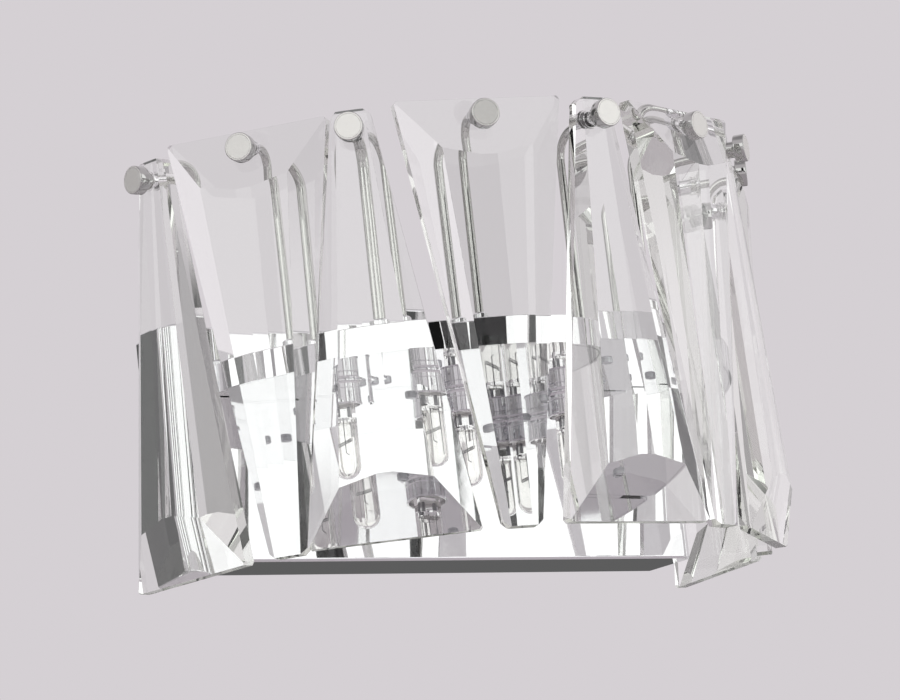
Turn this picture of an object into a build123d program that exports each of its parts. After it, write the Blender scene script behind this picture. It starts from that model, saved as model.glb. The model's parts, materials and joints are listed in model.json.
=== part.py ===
from build123d import *
from math import cos, radians, sin
import os

# Crystal wall sconce, millimetres. The wall is the plane Y = 0 and the fitting
# stands out from it towards -Y, with +Z up. The origin is the middle of the
# wall bracket's rear face. Nine faceted crystals hang in a half ring in front
# of a chrome backplate, each on its own bent rod.

# ---- One crystal: a tapered slab with a faceted front ----
crystal_length = 200.0
crystal_wide = 80.0
crystal_narrow = 18.0
crystal_girdle = 5.5
shoulder_half_width = 21.7
shoulder_run = 25.0
shoulder_height = 9.5
table_half_width = 3.75
table_height = 11.3
table_end_height = 2.0
wide_corner_clip = 1.5
narrow_corner_clip = 2.6
crystal_top_z = 133.5
pin_drop = 9.7
seat_height = 1.5
seat_radius = 4.7
pin_play = 0.1

# ---- Ring of crystals: angles are measured from straight ahead ----
ring_centre_depth = 3.0
ring_ratio = 1.9375
station_angles = [-85.8, -62.8, -43.6, -21.8, 0.0, 21.8, 43.6, 62.8, 85.8]
facing_angles = [-82.0, -53.0, -40.0, -18.0, 0.0, 18.0, 40.0, 53.0, 82.0]

# ---- Backplate housing: a pressed box, open towards the wall ----
housing_side_inset = 10.0
housing_height = 113.0
housing_depth = 37.0
housing_wall = 1.2
housing_corner_radius = 7.0
housing_edge_radius = 1.5

# ---- Wall bracket ----
bracket_end_inset = 25.0
bracket_height = 44.0
bracket_sheet = 1.5
bracket_arm_width = 22.0
bracket_arm_inset = 50.0
bracket_tab_depth = 17.0
bracket_fit = 0.1
wall_slot_spacing = 120.0
wall_slot_width = 5.0
wall_slot_length = 12.0
inlet_hole = 16.0
inlet_x = -40.0

# ---- Half-moon deck that carries the rods and the lamps ----
deck_rim_overhang = 6.0
deck_height = 13.4
deck_top_z = 36.0
deck_sheet = 1.5
deck_flange_inset = 19.0
deck_floor_fit = 0.2
deck_edge_radius = 0.5
deck_post_radius = 3.5
deck_post_inset = 36.0
deck_post_angles = [-73.0, -33.0, 33.0, 73.0]
deck_fixing_inset = 12.0
deck_fixing_spacing = 20.0
deck_screw_length = 8.0

# ---- Bent rod, knob and the small parts on the pin ----
rod_radius = 2.0
rod_setback = 30.0
rod_bend_radius = 13.0
sleeve_radius = 2.75
running_clearance = 0.05
washer_radius = 4.5
washer_thickness = 0.8
collar_radius = 3.75
collar_length = 5.0
knob_radius = 6.75
knob_thickness = 5.6
knob_neck_radius = 4.0
knob_face_reach = 12.0
knob_chamfer = 0.5
knob_bore_floor = 2.0
foot_collar_radius = 3.9
foot_collar_height = 3.0

# ---- Lamps: pin-base capsules in ceramic holders, pointing down ----
lamp_side_inset = 69.0
lamp_stand_off = 20.0
holder_radius = 9.0
holder_drop = 10.0
holder_headroom = 1.4
holder_lug_reach = 16.0
holder_lug_width = 7.0
holder_lug_height = 2.5
bulb_radius = 6.5
bulb_length = 37.0
bulb_glass = 1.0
bulb_pinch_height = 8.0
bulb_pinch_depth = 5.0
bulb_pinch_inset = 0.5
bulb_pin_radius = 0.6
bulb_pin_spacing = 9.0
bulb_pin_length = 6.0

# ---- Supply side ----
terminal_size = (34.0, 14.0, 20.0)
terminal_shift = 2.0
earth_screw_x = 70.0
lead_radius = 1.2
lead_bend_radius = 5.0
lead_spacing = 3.2
lead_hole_shift = 1.0
lead_gap = 0.3
bush_radius = 6.0
bush_lip = 1.2

# ---- Fasteners ----
screw_radius = 2.0
screw_head_radius = 3.6
screw_head_height = 2.4
screw_hole_clearance = 0.15
small_screw_radius = 1.5
small_head_radius = 2.8
small_head_height = 1.8
nut_across_flats = 7.0
nut_height = 3.2
screw_end = 1.0
slip = 0.02

# ---- Values worked out from the sizes above ----
ring_radius = crystal_wide * ring_ratio
ring_centre_y = ring_centre_depth - housing_depth
housing_width = 2 * (ring_radius - housing_side_inset)
bracket_length = housing_width - 2 * bracket_end_inset
bracket_arm_x = housing_width / 2 - bracket_arm_inset
deck_radius = ring_radius - rod_setback + deck_rim_overhang
deck_flange_x = deck_radius - deck_flange_inset
deck_post_ring = deck_radius - deck_post_inset
deck_fixing_x = deck_flange_x - deck_fixing_inset
lamp_y = -housing_depth - lamp_stand_off
lamp_spacing = deck_radius - lamp_side_inset
lamp_x = [-lamp_spacing, 0.0, lamp_spacing]
lead_hole_x = lamp_spacing / 2 + lead_hole_shift
terminal_x = lead_hole_x - terminal_shift
pin_z = crystal_top_z - pin_drop
deck_floor_z = deck_top_z - deck_height
deck_ceiling_z = deck_top_z - deck_sheet
deck_floor_top_z = deck_floor_z + deck_sheet
deck_middle_z = (deck_floor_top_z + deck_ceiling_z) / 2
housing_front_y = -housing_depth
deck_wall_y = housing_front_y - deck_sheet
holder_top_z = deck_ceiling_z - holder_headroom
holder_bottom_z = deck_floor_z - holder_drop
rod_foot_z = deck_ceiling_z - nut_height - screw_end
knob_inner_reach = knob_face_reach - knob_thickness
nut_radius = nut_across_flats / 2
stations = range(1, len(station_angles) + 1)


def save(node, shape):
    """Writes one node to its own file."""
    export_step(shape, f"parts/{node}.step")


def station_plane(number):
    """The front plane of one crystal: x to its right, y up, z outwards, origin on the pin."""
    place = radians(station_angles[number - 1])
    facing = radians(facing_angles[number - 1])
    origin = Vector(ring_radius * sin(place), ring_centre_y - ring_radius * cos(place), pin_z)
    across = Vector(cos(facing), sin(facing), 0)
    outward = Vector(sin(facing), -cos(facing), 0)
    return Plane(origin=origin, x_dir=across, z_dir=outward)


def rod_foot(number):
    """Where the upright part of one rod stands, as x and y."""
    plane = station_plane(number)
    foot = plane.origin - plane.z_dir * rod_setback
    return foot.X, foot.Y


def tube(outer, inner, height):
    """A ring standing on its z = 0 plane."""
    return extrude(Circle(outer) - Circle(inner), height)


def round_bar(radius, height):
    """A plain round bar standing on its z = 0 plane."""
    return extrude(Circle(radius), height)


def pan_screw(radius, head_radius, head_height, length):
    """A screw along z: its head above z = 0 and its shank below."""
    head = fillet(round_bar(head_radius, head_height).edges().group_by(Axis.Z)[-1], head_height * 0.45)
    slot = Pos(0, 0, head_height) * Box(head_radius * 1.3, head_radius * 0.25, head_height * 0.8)
    return head - slot + Pos(0, 0, -length) * round_bar(radius, length)


def hex_nut(bore_radius):
    """A nut standing on its z = 0 plane, with a flat side towards +x and -x."""
    profile = RegularPolygon(nut_radius, 6, major_radius=False, rotation=30)
    return extrude(profile - Circle(bore_radius + slip), nut_height)


# ---- Crystal ----


def facet(first, second, third):
    """The plane through three points of the crown, its normal pointing outwards."""
    normal = (second - first).cross(third - first)
    if normal.Z < 0:
        normal = normal * -1
    return Plane(origin=first, z_dir=normal)


def crystal_outline():
    """The tapered outline, wide end at y = 0, with its corners clipped."""
    wide = crystal_wide / 2
    narrow = crystal_narrow / 2
    lean = (wide - narrow) / crystal_length
    right_side = [
        (wide - wide_corner_clip, 0),
        (wide - lean * wide_corner_clip, wide_corner_clip),
        (narrow + lean * narrow_corner_clip, crystal_length - narrow_corner_clip),
        (narrow - narrow_corner_clip, crystal_length),
    ]
    left_side = [(-x, y) for x, y in reversed(right_side)]
    return make_face(Polyline(*right_side, *left_side, close=True))


def crown_facets():
    """Every cutting plane of the faceted front; the girdle's front edge is z = 0."""
    fall = (table_height - table_end_height) / (crystal_length - shoulder_run)
    table_start = table_height + fall * shoulder_run
    facets = [
        facet(Vector(-1, 0, 0), Vector(1, 0, 0), Vector(0, shoulder_run, shoulder_height)),
        facet(
            Vector(-1, 0, table_start),
            Vector(1, 0, table_start),
            Vector(0, crystal_length, table_end_height),
        ),
    ]
    for side in (-1, 1):
        shoulder = Vector(side * shoulder_half_width, shoulder_run, shoulder_height)
        wide_corner = Vector(side * crystal_wide / 2, 0, 0)
        narrow_corner = Vector(side * crystal_narrow / 2, crystal_length, 0)
        table_edge = Vector(side * table_half_width, 0, table_start)
        table_tip = Vector(side * table_half_width, crystal_length, table_end_height)
        facets.append(facet(wide_corner, narrow_corner, shoulder))
        facets.append(facet(table_edge, table_tip, shoulder))
    return facets


def crystal_blank():
    """The faceted slab before drilling, wide end at y = 0 and flat back at -girdle."""
    blank = Pos(0, 0, -crystal_girdle) * extrude(crystal_outline(), crystal_girdle + 2 * table_height)
    for plane in crown_facets():
        blank = split(blank, bisect_by=plane, keep=Keep.BOTTOM)
    return blank


def hung_crystal(blank, wide_end_up):
    """The blank hung by its pin hole, which is the origin."""
    if wide_end_up:
        placed = Pos(0, pin_drop, 0) * Rot(0, 0, 180) * blank
    else:
        placed = Pos(0, pin_drop - crystal_length, 0) * blank
    hole = Pos(0, 0, -2 * crystal_girdle) * round_bar(sleeve_radius + slip, 4 * table_height)
    seat = Pos(0, 0, seat_height) * round_bar(seat_radius, 2 * table_height)
    return placed - hole - seat


def make_crystals():
    blank = crystal_blank()
    sleeve_length = crystal_girdle + seat_height
    sleeve = Pos(0, 0, -crystal_girdle) * tube(sleeve_radius, rod_radius + running_clearance, sleeve_length)
    for number in stations:
        place = station_plane(number).location
        save(f"crystal_{number}", place * hung_crystal(blank, number % 2 == 0))
        save(f"sleeve_{number}", place * sleeve)


# ---- Rods and what sits on them ----


def bent_rod(number):
    """A rod from the deck up to the pin height and out through its crystal."""
    foot_depth = pin_z - rod_foot_z
    rod_end = knob_face_reach - knob_bore_floor - slip
    route = FilletPolyline(
        (0, -foot_depth, -rod_setback),
        (0, 0, -rod_setback),
        (0, 0, rod_end),
        radius=rod_bend_radius,
    )
    section = Plane(origin=(0, -foot_depth, -rod_setback), z_dir=(0, 1, 0)) * Circle(rod_radius)
    return station_plane(number).location * sweep(section, path=route)


def knob():
    """A round cap nut with a neck and a blind bore, on the pin axis."""
    disc = Pos(0, 0, knob_inner_reach) * round_bar(knob_radius, knob_thickness)
    disc = chamfer(disc.edges().filter_by(GeomType.CIRCLE), knob_chamfer)
    neck_start = seat_height + pin_play + washer_thickness
    neck = Pos(0, 0, neck_start) * round_bar(knob_neck_radius, knob_inner_reach - neck_start + knob_chamfer)
    bore_length = knob_face_reach - knob_bore_floor - neck_start
    bore = Pos(0, 0, neck_start) * round_bar(rod_radius + slip, bore_length)
    return disc + neck - bore


def make_rods():
    bore = rod_radius + slip
    washer = tube(washer_radius, bore, washer_thickness)
    outer_washer_z = seat_height + pin_play
    inner_washer_z = -crystal_girdle - pin_play - washer_thickness
    collar_blank = chamfer(tube(collar_radius, bore, collar_length).edges().group_by(Axis.Z)[0], 0.6)
    inner_collar = Pos(0, 0, inner_washer_z - collar_length) * collar_blank
    foot_collar = tube(foot_collar_radius, bore, foot_collar_height)
    foot_collar = chamfer(foot_collar.edges().group_by(Axis.Z)[-1].sort_by(SortBy.RADIUS)[-1], 0.8)
    places = [station_plane(number).location for number in stations]
    feet = [Pos(*rod_foot(number), deck_top_z) for number in stations]
    for number in stations:
        save(f"rod_{number}", bent_rod(number))
    save("knobs", Compound([place * knob() for place in places]))
    washers = [place * Pos(0, 0, z) * washer for place in places for z in (outer_washer_z, inner_washer_z)]
    save("clear_washers", Compound(washers))
    save("pin_collars", Compound([place * inner_collar for place in places]))
    save("foot_collars", Compound([foot * foot_collar for foot in feet]))
    nuts = []
    for number, foot in zip(stations, feet):
        turn = station_angles[number - 1] + 90
        nuts.append(foot * Pos(0, 0, -deck_sheet - nut_height) * Rot(0, 0, turn) * hex_nut(rod_radius))
    save("foot_nuts", Compound(nuts))


# ---- Deck ----


def half_moon(radius, rear_y):
    """A disc about the ring's centre, cut straight along rear_y."""
    disc = Pos(0, ring_centre_y) * Circle(radius)
    cutter = Pos(0, rear_y + radius) * Rectangle(4 * radius, 2 * radius)
    return disc - cutter


def forward_from(x, y, z):
    """A place whose own z axis points away from the wall."""
    return Plane(origin=(x, y, z), x_dir=(1, 0, 0), z_dir=(0, -1, 0)).location


def deck_fixings():
    """The deck's fixings along the housing's front, two on each side."""
    inner_x = deck_fixing_x - deck_fixing_spacing
    places = [-deck_fixing_x, -inner_x, inner_x, deck_fixing_x]
    return [forward_from(x, housing_front_y, deck_middle_z) for x in places]


def deck_posts():
    """The deck's screw posts on a circle about the ring's centre, as x and y."""
    posts = []
    for angle in deck_post_angles:
        turn = radians(angle)
        posts.append((deck_post_ring * sin(turn), ring_centre_y - deck_post_ring * cos(turn)))
    return posts


def lead_hole():
    """The bar that opens the way for the leads through the housing and the deck."""
    start = forward_from(lead_hole_x, housing_front_y + 2 * housing_wall, deck_middle_z)
    return start * round_bar(bush_radius - bush_lip, 3 * housing_wall + deck_sheet)


def make_deck():
    outside = Pos(0, 0, deck_floor_z) * extrude(half_moon(deck_radius, housing_front_y), deck_height)
    outside = fillet(outside.edges().group_by(Axis.Z)[-1].filter_by(GeomType.CIRCLE), deck_edge_radius)
    inside_radius = deck_radius - deck_sheet
    hollow = extrude(half_moon(inside_radius, deck_wall_y), deck_height - deck_sheet)
    shell = outside - Pos(0, 0, deck_floor_z) * hollow
    side_gap = Box(deck_radius, 2 * deck_sheet, deck_height - deck_sheet, align=(Align.MIN, Align.MAX, Align.MIN))
    shell -= Pos(deck_flange_x, housing_front_y, deck_floor_z) * side_gap
    shell -= Pos(-deck_flange_x - deck_radius, housing_front_y, deck_floor_z) * side_gap
    for x, y in deck_posts():
        shell += Pos(x, y, deck_floor_top_z) * tube(
            deck_post_radius, small_screw_radius + slip, deck_ceiling_z - deck_floor_top_z
        )
    for number in stations:
        shell -= Pos(*rod_foot(number), deck_ceiling_z) * round_bar(rod_radius + slip, deck_sheet)
    for fixing in deck_fixings():
        shell -= fixing * round_bar(screw_radius + screw_hole_clearance, deck_sheet)
    save("deck_shell", shell - lead_hole())

    floor_radius = inside_radius - deck_floor_fit
    floor = Pos(0, 0, deck_floor_z) * extrude(half_moon(floor_radius, deck_wall_y - deck_floor_fit), deck_sheet)
    for x in lamp_x:
        floor -= Pos(x, lamp_y, deck_floor_z) * round_bar(holder_radius + deck_floor_fit, deck_sheet)
        for side in (-1, 1):
            screw_x = x + side * (holder_lug_reach - holder_lug_width / 2)
            floor -= Pos(screw_x, lamp_y, deck_floor_z) * round_bar(small_screw_radius + slip, deck_sheet)
    for x, y in deck_posts():
        clear = small_screw_radius + screw_hole_clearance
        floor -= Pos(x, y, deck_floor_z) * round_bar(clear, deck_sheet)
    save("deck_floor", floor)

    floor_screw = pan_screw(small_screw_radius, small_head_radius, small_head_height, deck_screw_length)
    screws = [Pos(x, y, deck_floor_z) * Rot(180, 0, 0) * floor_screw for x, y in deck_posts()]
    save("deck_floor_screws", Compound(screws))


def make_deck_fixings():
    grip = housing_wall + deck_sheet
    bolt = Rot(180, 0, 0) * pan_screw(screw_radius, screw_head_radius, screw_head_height, grip + nut_height + screw_end)
    bolts = [fixing * Pos(0, 0, -housing_wall) * bolt for fixing in deck_fixings()]
    nuts = [fixing * Pos(0, 0, deck_sheet) * hex_nut(screw_radius) for fixing in deck_fixings()]
    save("deck_fixing_screws", Compound(bolts))
    save("deck_fixing_nuts", Compound(nuts))


# ---- Backplate housing and wall bracket ----


def housing_screw_places():
    """The two fixing screws of the housing, pointing down through its top wall."""
    y = -bracket_tab_depth * 0.6
    return [Pos(side * bracket_arm_x, y, housing_height / 2) for side in (-1, 1)]


def make_housing():
    outside = Pos(0, -housing_depth / 2, 0) * Box(housing_width, housing_depth, housing_height)
    front_corners = outside.edges().filter_by(Axis.Z).group_by(Axis.Y)[0]
    outside = fillet(front_corners, housing_corner_radius)
    front_rim = outside.faces().sort_by(Axis.Y)[0].edges()
    outside = fillet(front_rim, housing_edge_radius)
    inside_width = housing_width - 2 * housing_wall
    inside_height = housing_height - 2 * housing_wall
    inside_depth = housing_depth - housing_wall
    inside = Pos(0, -inside_depth / 2, 0) * Box(inside_width, inside_depth, inside_height)
    inner_corners = inside.edges().filter_by(Axis.Z).group_by(Axis.Y)[0]
    inside = fillet(inner_corners, housing_corner_radius - housing_wall)
    shell = outside - inside
    for place in housing_screw_places():
        hole = round_bar(screw_radius + screw_hole_clearance, 2 * housing_wall)
        shell -= place * Pos(0, 0, -1.5 * housing_wall) * hole
    for fixing in deck_fixings():
        hole = round_bar(screw_radius + screw_hole_clearance, 2 * housing_wall)
        shell -= fixing * Pos(0, 0, -1.5 * housing_wall) * hole
    save("backplate_housing", shell - lead_hole())


def make_bracket():
    rear = forward_from(0, 0, 0)
    arm_top = housing_height / 2 - housing_wall - bracket_fit
    profile = Rectangle(bracket_length, bracket_height)
    for side in (-1, 1):
        profile += Pos(side * bracket_arm_x, 0) * Rectangle(bracket_arm_width, 2 * arm_top)
    for side in (-1, 1):
        profile -= Pos(side * wall_slot_spacing / 2, 0) * SlotOverall(wall_slot_length, wall_slot_width)
    profile -= Pos(inlet_x, 0) * Circle(inlet_hole / 2)
    profile -= Pos(earth_screw_x, 0) * Circle(screw_radius + slip)
    bracket = rear * extrude(profile, bracket_sheet)
    for side in (-1, 1):
        for end in (-1, 1):
            tab = Box(bracket_arm_width, bracket_tab_depth, bracket_sheet)
            height = end * (arm_top - bracket_sheet / 2)
            bracket += Pos(side * bracket_arm_x, -bracket_tab_depth / 2, height) * tab
    for place in housing_screw_places():
        bracket -= place * Pos(0, 0, -4 * bracket_sheet) * round_bar(screw_radius + slip, 4 * bracket_sheet)
    save("wall_bracket", bracket)

    grip = housing_wall + bracket_fit + bracket_sheet + 2 * screw_end
    screw = pan_screw(screw_radius, screw_head_radius, screw_head_height, grip)
    save("housing_screws", Compound([place * screw for place in housing_screw_places()]))


def make_supply_side():
    width, depth, height = terminal_size
    block = Pos(terminal_x, -bracket_sheet - depth / 2, 0) * Box(width, depth, height)
    for step in (-1, 0, 1):
        for end in (-1, 1):
            well = forward_from(terminal_x + step * width / 3, -bracket_sheet - depth / 2, end * height / 4)
            block -= well * round_bar(small_screw_radius, depth / 2)
    save("terminal_block", block)

    earth_screw = pan_screw(screw_radius, screw_head_radius, screw_head_height, bracket_sheet)
    save("earth_screw", forward_from(earth_screw_x, -bracket_sheet, 0) * earth_screw)

    ring = tube(inlet_hole / 2 - slip, inlet_hole / 2 - 2 * bush_lip, bracket_sheet)
    lip = Pos(0, 0, bracket_sheet) * tube(inlet_hole / 2 + bush_lip, inlet_hole / 2 - 2 * bush_lip, 2 * bush_lip)
    save("inlet_grommet", forward_from(inlet_x, 0, 0) * (ring + lip))


# ---- Lamps ----


def lamp_holder(x):
    """A ceramic holder through the deck floor, with two lugs lying on the floor."""
    body = Pos(x, lamp_y, holder_bottom_z) * round_bar(holder_radius, holder_top_z - holder_bottom_z)
    body = chamfer(body.edges().group_by(Axis.Z)[0], 0.8)
    lugs = Pos(x, lamp_y, deck_floor_top_z) * extrude(
        SlotOverall(2 * holder_lug_reach, holder_lug_width), holder_lug_height
    )
    holder = body + lugs
    for side in (-1, 1):
        screw_x = x + side * (holder_lug_reach - holder_lug_width / 2)
        holder -= Pos(screw_x, lamp_y, deck_floor_top_z) * round_bar(small_screw_radius + slip, holder_lug_height)
        pin_x = x + side * bulb_pin_spacing / 2
        holder -= Pos(pin_x, lamp_y, holder_bottom_z) * round_bar(bulb_pin_radius + slip, bulb_pin_length)
    return holder


def bulb(x):
    """A clear capsule with a flat pinch at its top and a round lower end."""
    top = holder_bottom_z - slip
    pinch = Pos(x, lamp_y, top - bulb_pinch_height) * Box(
        2 * (bulb_radius - bulb_pinch_inset),
        bulb_pinch_depth,
        bulb_pinch_height,
        align=(Align.CENTER, Align.CENTER, Align.MIN),
    )
    straight = bulb_length - bulb_pinch_height - bulb_radius
    capsule = Pos(x, lamp_y, top - bulb_pinch_height - straight) * round_bar(bulb_radius, straight)
    capsule += Pos(x, lamp_y, top - bulb_pinch_height - straight) * Sphere(bulb_radius)
    inner_radius = bulb_radius - bulb_glass
    inner_straight = straight - 2 * bulb_glass
    void = Pos(x, lamp_y, top - bulb_pinch_height - straight) * round_bar(inner_radius, inner_straight)
    void += Pos(x, lamp_y, top - bulb_pinch_height - straight) * Sphere(inner_radius)
    return capsule + pinch - void


def bulb_pin(x, side):
    """One of the two wire pins that plug into the holder."""
    length = bulb_pin_length - lead_gap
    return Pos(x + side * bulb_pin_spacing / 2, lamp_y, holder_bottom_z - slip) * round_bar(bulb_pin_radius, length)


def make_lamps():
    for number, x in enumerate(lamp_x, start=1):
        save(f"lamp_holder_{number}", lamp_holder(x))
        save(f"bulb_{number}", bulb(x))
    save("bulb_pins", Compound([bulb_pin(x, side) for x in lamp_x for side in (-1, 1)]))
    screw = pan_screw(small_screw_radius, small_head_radius, small_head_height, deck_sheet + holder_lug_height)
    screws = []
    for x in lamp_x:
        for side in (-1, 1):
            screw_x = x + side * (holder_lug_reach - holder_lug_width / 2)
            screws.append(Pos(screw_x, lamp_y, deck_floor_z) * Rot(180, 0, 0) * screw)
    save("holder_screws", Compound(screws))


# ---- Leads from the terminal block to the lamp holders ----


def lead(points):
    """One insulated lead along straight runs joined by equal arcs."""
    route = FilletPolyline(*points, radius=lead_bend_radius)
    start = Vector(*points[0])
    section = Plane(origin=start, z_dir=Vector(*points[1]) - start) * Circle(lead_radius)
    return sweep(section, path=route)


def make_leads():
    terminal_front = -bracket_sheet - terminal_size[1] - lead_gap
    riser_y = terminal_front - lead_bend_radius - lead_radius - lead_gap
    holder_side = holder_radius + lead_gap
    left, middle, right = lamp_x
    behind_holders = lamp_y + holder_radius + lead_radius + lead_gap
    ends = [
        (lead_hole_x, middle + holder_side, lamp_y),
        (lead_hole_x + lead_spacing, right - holder_side, lamp_y),
        (lead_hole_x - lead_spacing, left, behind_holders),
    ]
    leads = []
    for x, end_x, end_y in ends:
        points = [
            (x, terminal_front, 0),
            (x, riser_y, 0),
            (x, riser_y, deck_middle_z),
            (x, end_y, deck_middle_z),
            (end_x, end_y, deck_middle_z),
        ]
        leads.append(lead(points))
    save("lamp_leads", Compound(leads))

    thickness = housing_wall + deck_sheet
    bush_section = Circle(bush_radius - bush_lip - slip) - Circle(lead_spacing + lead_radius + slip)
    lip_section = Circle(bush_radius) - Circle(lead_spacing + lead_radius + slip)
    bush = extrude(bush_section, thickness) + Pos(0, 0, -bush_lip) * extrude(lip_section, bush_lip)
    save("lead_bush", forward_from(lead_hole_x, housing_front_y + housing_wall, deck_middle_z) * bush)


def main():
    os.makedirs("parts", exist_ok=True)
    make_bracket()
    make_housing()
    make_deck()
    make_deck_fixings()
    make_supply_side()
    make_lamps()
    make_leads()
    make_rods()
    make_crystals()


main()
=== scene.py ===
import json
from math import cos, pi, radians, sin, tau

import bmesh
import bpy
from bpy.props import FloatProperty, FloatVectorProperty, IntProperty, PointerProperty
from mathutils import Matrix, Vector

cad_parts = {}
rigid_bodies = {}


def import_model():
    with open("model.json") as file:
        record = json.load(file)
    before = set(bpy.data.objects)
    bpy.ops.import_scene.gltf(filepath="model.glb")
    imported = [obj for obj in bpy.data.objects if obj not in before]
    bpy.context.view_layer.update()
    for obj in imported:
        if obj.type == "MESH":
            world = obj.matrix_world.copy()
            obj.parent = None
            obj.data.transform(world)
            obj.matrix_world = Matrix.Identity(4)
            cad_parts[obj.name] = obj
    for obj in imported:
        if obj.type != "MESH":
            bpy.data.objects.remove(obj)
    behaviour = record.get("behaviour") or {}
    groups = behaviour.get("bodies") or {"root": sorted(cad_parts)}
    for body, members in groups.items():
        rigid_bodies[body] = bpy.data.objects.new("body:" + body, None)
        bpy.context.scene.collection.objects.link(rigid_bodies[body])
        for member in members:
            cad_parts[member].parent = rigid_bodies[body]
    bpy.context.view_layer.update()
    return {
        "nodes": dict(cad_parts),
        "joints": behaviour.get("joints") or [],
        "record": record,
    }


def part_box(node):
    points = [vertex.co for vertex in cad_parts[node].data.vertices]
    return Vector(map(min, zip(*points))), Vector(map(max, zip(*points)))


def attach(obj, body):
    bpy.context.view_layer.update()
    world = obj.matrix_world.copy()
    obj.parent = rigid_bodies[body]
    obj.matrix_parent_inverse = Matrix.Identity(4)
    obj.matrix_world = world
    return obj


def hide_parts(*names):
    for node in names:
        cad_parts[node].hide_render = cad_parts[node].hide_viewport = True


bl_info = {
    "name": "Crystal Wall Sconce",
    "version": (1, 0, 0),
    "blender": (4, 5, 0),
    "location": "3D View > Sidebar > Sconce",
    "description": "Dresses the sconce's frame with cut crystal, chrome and lamps",
    "category": "Add Mesh",
}

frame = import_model()
SWINGS = {int(joint["name"].split("_")[1]): joint for joint in frame["joints"]}
STATIONS = sorted(SWINGS)
ROOT_BODY = "body"
MM = 0.001


# ---- Sizes and colours a user would change ----


class SconceSizes(bpy.types.PropertyGroup):
    crystal_length: FloatProperty(
        name="Crystal Length", description="Length of one crystal", default=0.2, unit="LENGTH"
    )
    crystal_wide: FloatProperty(
        name="Wide End", description="Width of a crystal's wide end", default=0.08, unit="LENGTH"
    )
    crystal_narrow: FloatProperty(
        name="Narrow End", description="Width of a crystal's narrow end", default=0.018, unit="LENGTH"
    )
    crystal_girdle: FloatProperty(
        name="Girdle", description="Thickness at a crystal's edge", default=0.0055, unit="LENGTH"
    )
    arris: FloatProperty(
        name="Arris", description="Width of the ground arris round a crystal", default=0.0007, unit="LENGTH"
    )
    rod_radius: FloatProperty(
        name="Rod Radius", description="Radius of a bent rod", default=0.002, unit="LENGTH"
    )
    rod_bend: FloatProperty(
        name="Rod Bend", description="Centre-line radius of a rod's bend", default=0.013, unit="LENGTH"
    )
    knob_radius: FloatProperty(
        name="Knob Radius", description="Radius of a knob's disc", default=0.00675, unit="LENGTH"
    )
    filament_turns: IntProperty(
        name="Filament Turns", description="Turns of one lamp's filament", default=14, min=4, max=40
    )


class SconceColours(bpy.types.PropertyGroup):
    chrome: FloatVectorProperty(
        name="Chrome", description="Colour of the polished plating", subtype="COLOR", size=3,
        default=(0.82, 0.82, 0.83), min=0.0, max=1.0,
    )
    knob_metal: FloatVectorProperty(
        name="Knob Metal", description="Colour of the knobs' faces", subtype="COLOR", size=3,
        default=(0.82, 0.815, 0.78), min=0.0, max=1.0,
    )
    # Painted shade: the rods' chrome is darkened to stand in for the darker reflections that the rods show.
    rod_chrome: FloatVectorProperty(
        name="Rod Chrome", description="Colour of the drawn rods' plating", subtype="COLOR", size=3,
        default=(0.62, 0.62, 0.6), min=0.0, max=1.0,
    )
    # Painted shade: the knobs' sides are the same chrome as their faces, darkened here so that they look
    # shaded.
    knob_flank_painted_dark: FloatVectorProperty(
        name="Knob Side", description="Colour of the knobs' sides", subtype="COLOR", size=3,
        default=(0.5, 0.5, 0.49), min=0.0, max=1.0,
    )
    crystal: FloatVectorProperty(
        name="Crystal", description="Tint of the cut crystal", subtype="COLOR", size=3,
        default=(0.985, 0.99, 0.985), min=0.0, max=1.0,
    )
    arris: FloatVectorProperty(
        name="Arris", description="Tint of the ground arrises", subtype="COLOR", size=3,
        default=(1.0, 1.0, 0.97), min=0.0, max=1.0,
    )


class StageSettings(bpy.types.PropertyGroup):
    background: FloatVectorProperty(
        name="Background", description="Colour behind the sconce", subtype="COLOR", size=3,
        default=(0.665, 0.631, 0.658), min=0.0, max=1.0,
    )
    key_power: FloatProperty(
        name="Key Power", description="Power of the main softbox", default=7.0, min=0.0, unit="POWER"
    )
    fill_power: FloatProperty(
        name="Fill Power", description="Power of the side softbox", default=3.0, min=0.0, unit="POWER"
    )


# ---- Node helpers ----


def add_node(tree, kind, **values):
    node = tree.nodes.new(kind)
    for name, value in values.items():
        setattr(node, name, value)
    return node


def link(tree, start, end):
    tree.links.new(start, end)


def new_material(name):
    material = bpy.data.materials.new(name)
    material.use_nodes = True
    return material, material.node_tree, material.node_tree.nodes["Principled BSDF"]


def set_plain(shader, **values):
    """Sets uniform values on the shader's own sockets, spaces written as underscores."""
    for name, value in values.items():
        socket = shader.inputs[name.replace("_", " ")]
        socket.default_value = (*value, 1.0) if socket.type == "RGBA" and len(value) == 3 else value


def surface_group(name, inputs, outputs):
    """An empty shader group with named float inputs and outputs."""
    tree = bpy.data.node_groups.new(name, "ShaderNodeTree")
    for label, default in inputs.items():
        socket = tree.interface.new_socket(name=label, in_out="INPUT", socket_type="NodeSocketFloat")
        socket.default_value = default
    for label, kind in outputs.items():
        tree.interface.new_socket(name=label, in_out="OUTPUT", socket_type=kind)
    return tree, tree.nodes.new("NodeGroupInput"), tree.nodes.new("NodeGroupOutput")


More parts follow.
